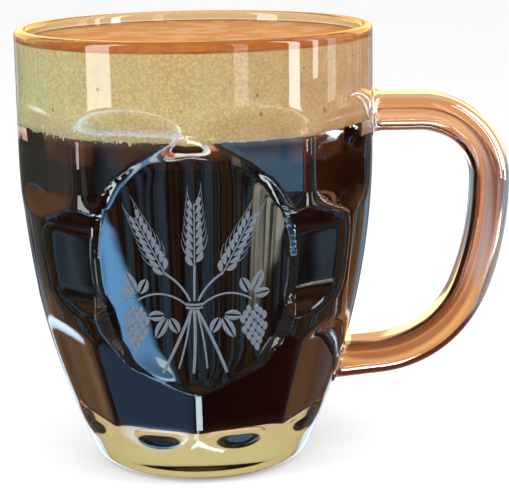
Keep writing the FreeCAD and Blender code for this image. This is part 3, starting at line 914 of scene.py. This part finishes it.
def scatter_tree():
    """Geometry nodes that scatter small round bubbles over a surface."""
    tree = bpy.data.node_groups.new("bubble_scatter", "GeometryNodeTree")
    face = tree.interface
    face.new_socket("Bed", in_out="INPUT", socket_type="NodeSocketGeometry")
    for name, kind in (("Density", "Float"), ("Smallest", "Float"), ("Growth", "Float"), ("Seed", "Int"),
                       ("Skin", "Material")):
        face.new_socket(name, in_out="INPUT", socket_type="NodeSocket" + kind)
    face.new_socket("Bubbles", in_out="OUTPUT", socket_type="NodeSocketGeometry")

    def node(kind, settings=None, inputs=None):
        made = tree.nodes.new(kind)
        for key, value in (settings or {}).items():
            setattr(made, key, value)
        for key, value in (inputs or {}).items():
            if isinstance(value, bpy.types.NodeSocket):
                tree.links.new(value, made.inputs[key])
            else:
                made.inputs[key].default_value = value
        return made.outputs

    given = node("NodeGroupInput")
    points = node("GeometryNodeDistributePointsOnFaces", {"distribute_method": "RANDOM"},
                  {"Mesh": given["Bed"], "Density": given["Density"], "Seed": given["Seed"]})
    ball = node("GeometryNodeMeshUVSphere", None, {"Segments": 8, "Rings": 5, "Radius": 1.0})
    # of this node's outputs, the second is the one that holds a single number
    draw = node("FunctionNodeRandomValue", {"data_type": "FLOAT"}, {"Seed": given["Seed"]})[1]
    rare = node("ShaderNodeMath", {"operation": "POWER"}, {0: draw, 1: 4.0})[0]
    more = node("ShaderNodeMath", {"operation": "MULTIPLY"}, {0: rare, 1: given["Growth"]})[0]
    size = node("ShaderNodeMath", {"operation": "ADD"}, {0: more, 1: given["Smallest"]})[0]
    placed = node("GeometryNodeInstanceOnPoints", None,
                  {"Points": points["Points"], "Instance": ball["Mesh"], "Scale": size})
    real = node("GeometryNodeRealizeInstances", None, {"Geometry": placed["Instances"]})
    smooth = node("GeometryNodeSetShadeSmooth", None, {"Geometry": real["Geometry"]})
    skinned = node("GeometryNodeSetMaterial", None,
                   {"Geometry": smooth["Geometry"], "Material": given["Skin"]})
    node("NodeGroupOutput", None, {"Bubbles": skinned["Geometry"]})
    return tree


def bubbles(name, tree, low, high, arc_from, arc_to, **given):
    """Bubbles against the wall between two heights and two angles, in millimetres and degrees."""
    wall = np.array(cavity_profile(FOAM_INTO_WALL - BUBBLE_SINK))
    angle, height = np.meshgrid(np.radians(np.linspace(arc_from, arc_to, 121)), np.linspace(low, high, 9))
    radius = np.interp(height, wall[:, 1], wall[:, 0])
    bed = np.stack([radius * np.cos(angle), radius * np.sin(angle), height], axis=-1)
    rows, count = height.shape
    faces = [
        (start + step, start + step + 1, start + count + step + 1, start + count + step)
        for start in range(0, count * (rows - 1), count)
        for step in range(count - 1)
    ]
    piece = make_piece(name, bed.reshape(-1, 3), faces, given["Skin"])
    scatter = piece.modifiers.new("scatter", "NODES")
    scatter.node_group = tree
    for item in tree.interface.items_tree:
        if item.name in given:
            scatter[item.identifier] = given[item.name]
    applied(piece)
    return belongs(piece)


def all_bubbles():
    """Fine bubbles all round, a coarser froth at the lower left, and a few large ones."""
    tree = scatter_tree()
    pale = bubble_skin("bubble_skin", (0.80, 0.68, 0.40), (0.58, 0.44, 0.22))
    open_skin = bubble_skin("open_bubbles", (0.34, 0.24, 0.11), (0.46, 0.33, 0.16))
    bubbles("fine_bubbles", tree, ale_top + 0.3, head_top - 0.3, 0, 360,
            Density=3.2e5, Smallest=0.10 * MM, Growth=0.16 * MM, Seed=3, Skin=pale)
    froth = bubble_skin("froth_skin", (0.88, 0.88, 0.70), (0.66, 0.62, 0.42))
    bubbles("froth_edge", tree, ale_top - 0.9, ale_top + 2.6, 176, 262,
            Density=1.5e6, Smallest=0.14 * MM, Growth=0.42 * MM, Seed=8, Skin=froth)
    bubbles("large_bubbles", tree, ale_top + 4.0, head_top - 3.0, 0, 360,
            Density=9.0e3, Smallest=0.24 * MM, Growth=0.60 * MM, Seed=5, Skin=open_skin)


# ---------------------------------------------------------------- studio


def front_camera():
    """Camera a little above the rim, right of the mug's axis, rolled by less than a degree."""
    place = Vector((16.1, -487.9, 167.2)) * MM
    aim = Vector((16.1, 0.0, 60.7)) * MM
    roll = math.radians(-0.88)
    data = bpy.data.cameras.new("camera")
    data.lens = 123.3
    data.sensor_width = 36.0
    camera = bpy.data.objects.new("camera", data)
    bpy.context.scene.collection.objects.link(camera)
    back = (place - aim).normalized()
    level = Vector((1, 0, 0))
    right = level * math.cos(roll) + back.cross(level) * math.sin(roll)
    turn = Matrix((right, back.cross(right), back)).transposed()
    camera.matrix_world = Matrix.Translation(place) @ turn.to_4x4()
    bpy.context.scene.camera = camera


def softbox(name, azimuth, low, high, width, strength, colour=(1, 1, 1)):
    """A tall lamp that faces the mug; azimuth 0 is in front and grows towards the handle."""
    turn = math.radians(azimuth)
    data = bpy.data.lights.new(name, "AREA")
    data.shape = "RECTANGLE"
    data.size = width
    data.size_y = high - low
    data.energy = strength * math.pi * width * (high - low)
    data.color = colour
    lamp = bpy.data.objects.new(name, data)
    bpy.context.scene.collection.objects.link(lamp)
    lamp.location = (LAMPS_AWAY * math.sin(turn), -LAMPS_AWAY * math.cos(turn), (low + high) / 2)
    lamp.rotation_euler = (math.pi / 2, 0, turn)
    lamp.visible_camera = False


def first_sight(rays):
    """1 for what the camera sees, also in glass or through it; 0 for light that falls on a matt surface."""
    return 1 - rays["Diffuse Depth"].maths("MINIMUM", 1)


def through_glass(rays):
    """1 for what the camera sees through glass."""
    return rays["Is Transmission Ray"] * first_sight(rays)


def mirrored(rays):
    """1 for what the glass mirrors; light bent through it counts as glossy too, so it is taken out."""
    return rays["Is Glossy Ray"] * (1 - rays["Is Transmission Ray"]) * first_sight(rays)


def pale_floor():
    """White to the camera, with the mug's shadow; amber through glass, to the side and in front."""
    bpy.ops.mesh.primitive_plane_add(size=6)
    floor = bpy.context.object
    floor.name = "floor"
    floor.data.transform(Matrix.Translation((0, 0, -0.05 * MM)))
    f = new_finish("pale_floor")
    rays = f.node("ShaderNodeLightPath")
    _, x, y, _ = f.place()
    aside = x.maths("ABSOLUTE").between(90.0, 260.0).maths("MAXIMUM", 1 - y.between(-60.0, 20.0))
    tone = f.blend(through_glass(rays) * aside, (0.8, 0.8, 0.8), (0.42, 0.20, 0.09))
    matt = f.node("ShaderNodeBsdfDiffuse", None, {"Color": tone})["BSDF"]
    seen = rays["Is Camera Ray"].maths("MAXIMUM", through_glass(rays) * (1 - aside))
    under = 1 - (x * x + y * y).maths("SQRT").between(22.0, 55.0)
    glow = seen * 0.3 + through_glass(rays) * under * 0.45
    lift = f.node("ShaderNodeEmission", None, {"Color": (1, 1, 1), "Strength": glow})["Emission"]
    floor.data.materials.append(f.surface(f.node("ShaderNodeAddShader", None, {0: matt, 1: lift})["Shader"]))
    floor.visible_glossy = False


def within(value, low, high, soft):
    """1 between low and high, with edges this soft; 0 outside them."""
    return value.between(low - soft, low + soft) * (1 - value.between(high - soft, high + soft))


def room_in_the_glass(f):
    """What the glass mirrors of a dim room, by azimuth from the front and height above level, in degrees."""
    parts = f.node("ShaderNodeSeparateXYZ", None, {0: f.node("ShaderNodeTexCoord")["Generated"]})
    x, y, z = (parts[axis] for axis in "XYZ")
    azimuth = x.maths("ARCTAN2", y * -1) * math.degrees(1)
    height = z.maths("ARCSINE") * math.degrees(1)
    place = f.node("ShaderNodeCombineXYZ", None, {"X": azimuth * 0.085, "Y": height * 0.025})["Vector"]
    shade = f.ramp(f.noise(place, 1.0, 2.0), ROOM_STRIPES)

    floor = 1 - height.between(-46.0, -30.0)
    shade = f.blend(floor, shade, (0.10, 0.03, 0.025))
    warm_wall = y.between(0.0, 0.35).maths("MAXIMUM", height.between(5.0, 20.0)) * height.between(-6.0, 3.0)
    shade = f.blend(warm_wall * 0.85, shade, (0.85, 0.44, 0.20))
    warm_floor = y.between(0.3, 0.6) * (1 - height.between(-24.0, -14.0))
    shade = f.blend(warm_floor * 0.7, shade, (0.62, 0.30, 0.12))

    # a lit table on the left: its far edge runs aslant, and its glow fades downward
    table_edge = height + azimuth * 0.184 + 34.85
    table = (1 - table_edge.between(-0.6, 0.6)) * (1 - azimuth.between(-36.0, -22.0))
    table = table * azimuth.between(-83.0, -72.0)
    table = table * (height.between(-44.0, -23.0) * 0.9 + 0.1) * height.between(-62.0, -48.0)
    shade = f.blend(table, shade, (2.4, 6.0, 11.0))

    # a window with uneven bars on the right, above an aslant bench
    bench = height - azimuth * 0.167 + 34.5
    panes = within(azimuth, 43.0, 80.0, 2.0) * bench.between(-0.6, 0.6) * (1 - height.between(-18.0, -14.0))
    bars = f.noise(place, 3.2, 2.0).between(0.38, 0.60)
    shade = f.blend(panes, shade, f.blend(bars, (0.5, 0.6, 0.5), (5.6, 5.4, 4.4)))

    for colour, sides, levels in ROOM_CARDS:
        shade = f.blend(within(azimuth, *sides) * within(height, *levels), shade, colour)
    return shade, y, z


def dim_room():
    """White behind the mug; amber where glass bends the view aside; a dim room where it mirrors."""
    world = bpy.data.worlds.new("room")
    bpy.context.scene.world = world
    f = Finish(world)
    rays = f.node("ShaderNodeLightPath")
    shade, y, z = room_in_the_glass(f)
    backdrop = f.blend(through_glass(rays) * (1 - y.between(0.25, 0.65)), (1, 1, 1), (0.36, 0.17, 0.08))
    level = y.between(-0.2, 0.9).maths("MAXIMUM", z.between(0.1, 0.9)) * 0.55 + 0.35
    sky = f.node("ShaderNodeBackground", None, {
        "Color": f.blend(mirrored(rays), backdrop, shade),
        "Strength": f.pick(first_sight(rays), level, 1.0),
    })
    f.node("ShaderNodeOutputWorld", None, {"Surface": sky["Background"]})


def studio():
    """Lamps that the glass mirrors as tall windows, with the floor and the room around."""
    softbox("window_left", -56.6, 0.03, 0.62, 0.115, 8.0)
    softbox("window_front", 29.0, 0.03, 0.55, 0.06, 3.0)
    softbox("window_right", 63.0, 0.035, 0.60, 0.054, 12.0, (0.92, 0.96, 1.0))
    softbox("window_narrow", 79.0, 0.07, 0.50, 0.030, 8.0)
    softbox("window_side", 93.0, 0.03, 0.60, 0.054, 2.5)
    pale_floor()
    dim_room()
    bpy.context.scene.view_settings.view_transform = "Standard"


front_camera()
studio()
glass_mug()
ale_fill()
foam_head()
all_bubbles()
barley_and_hops()
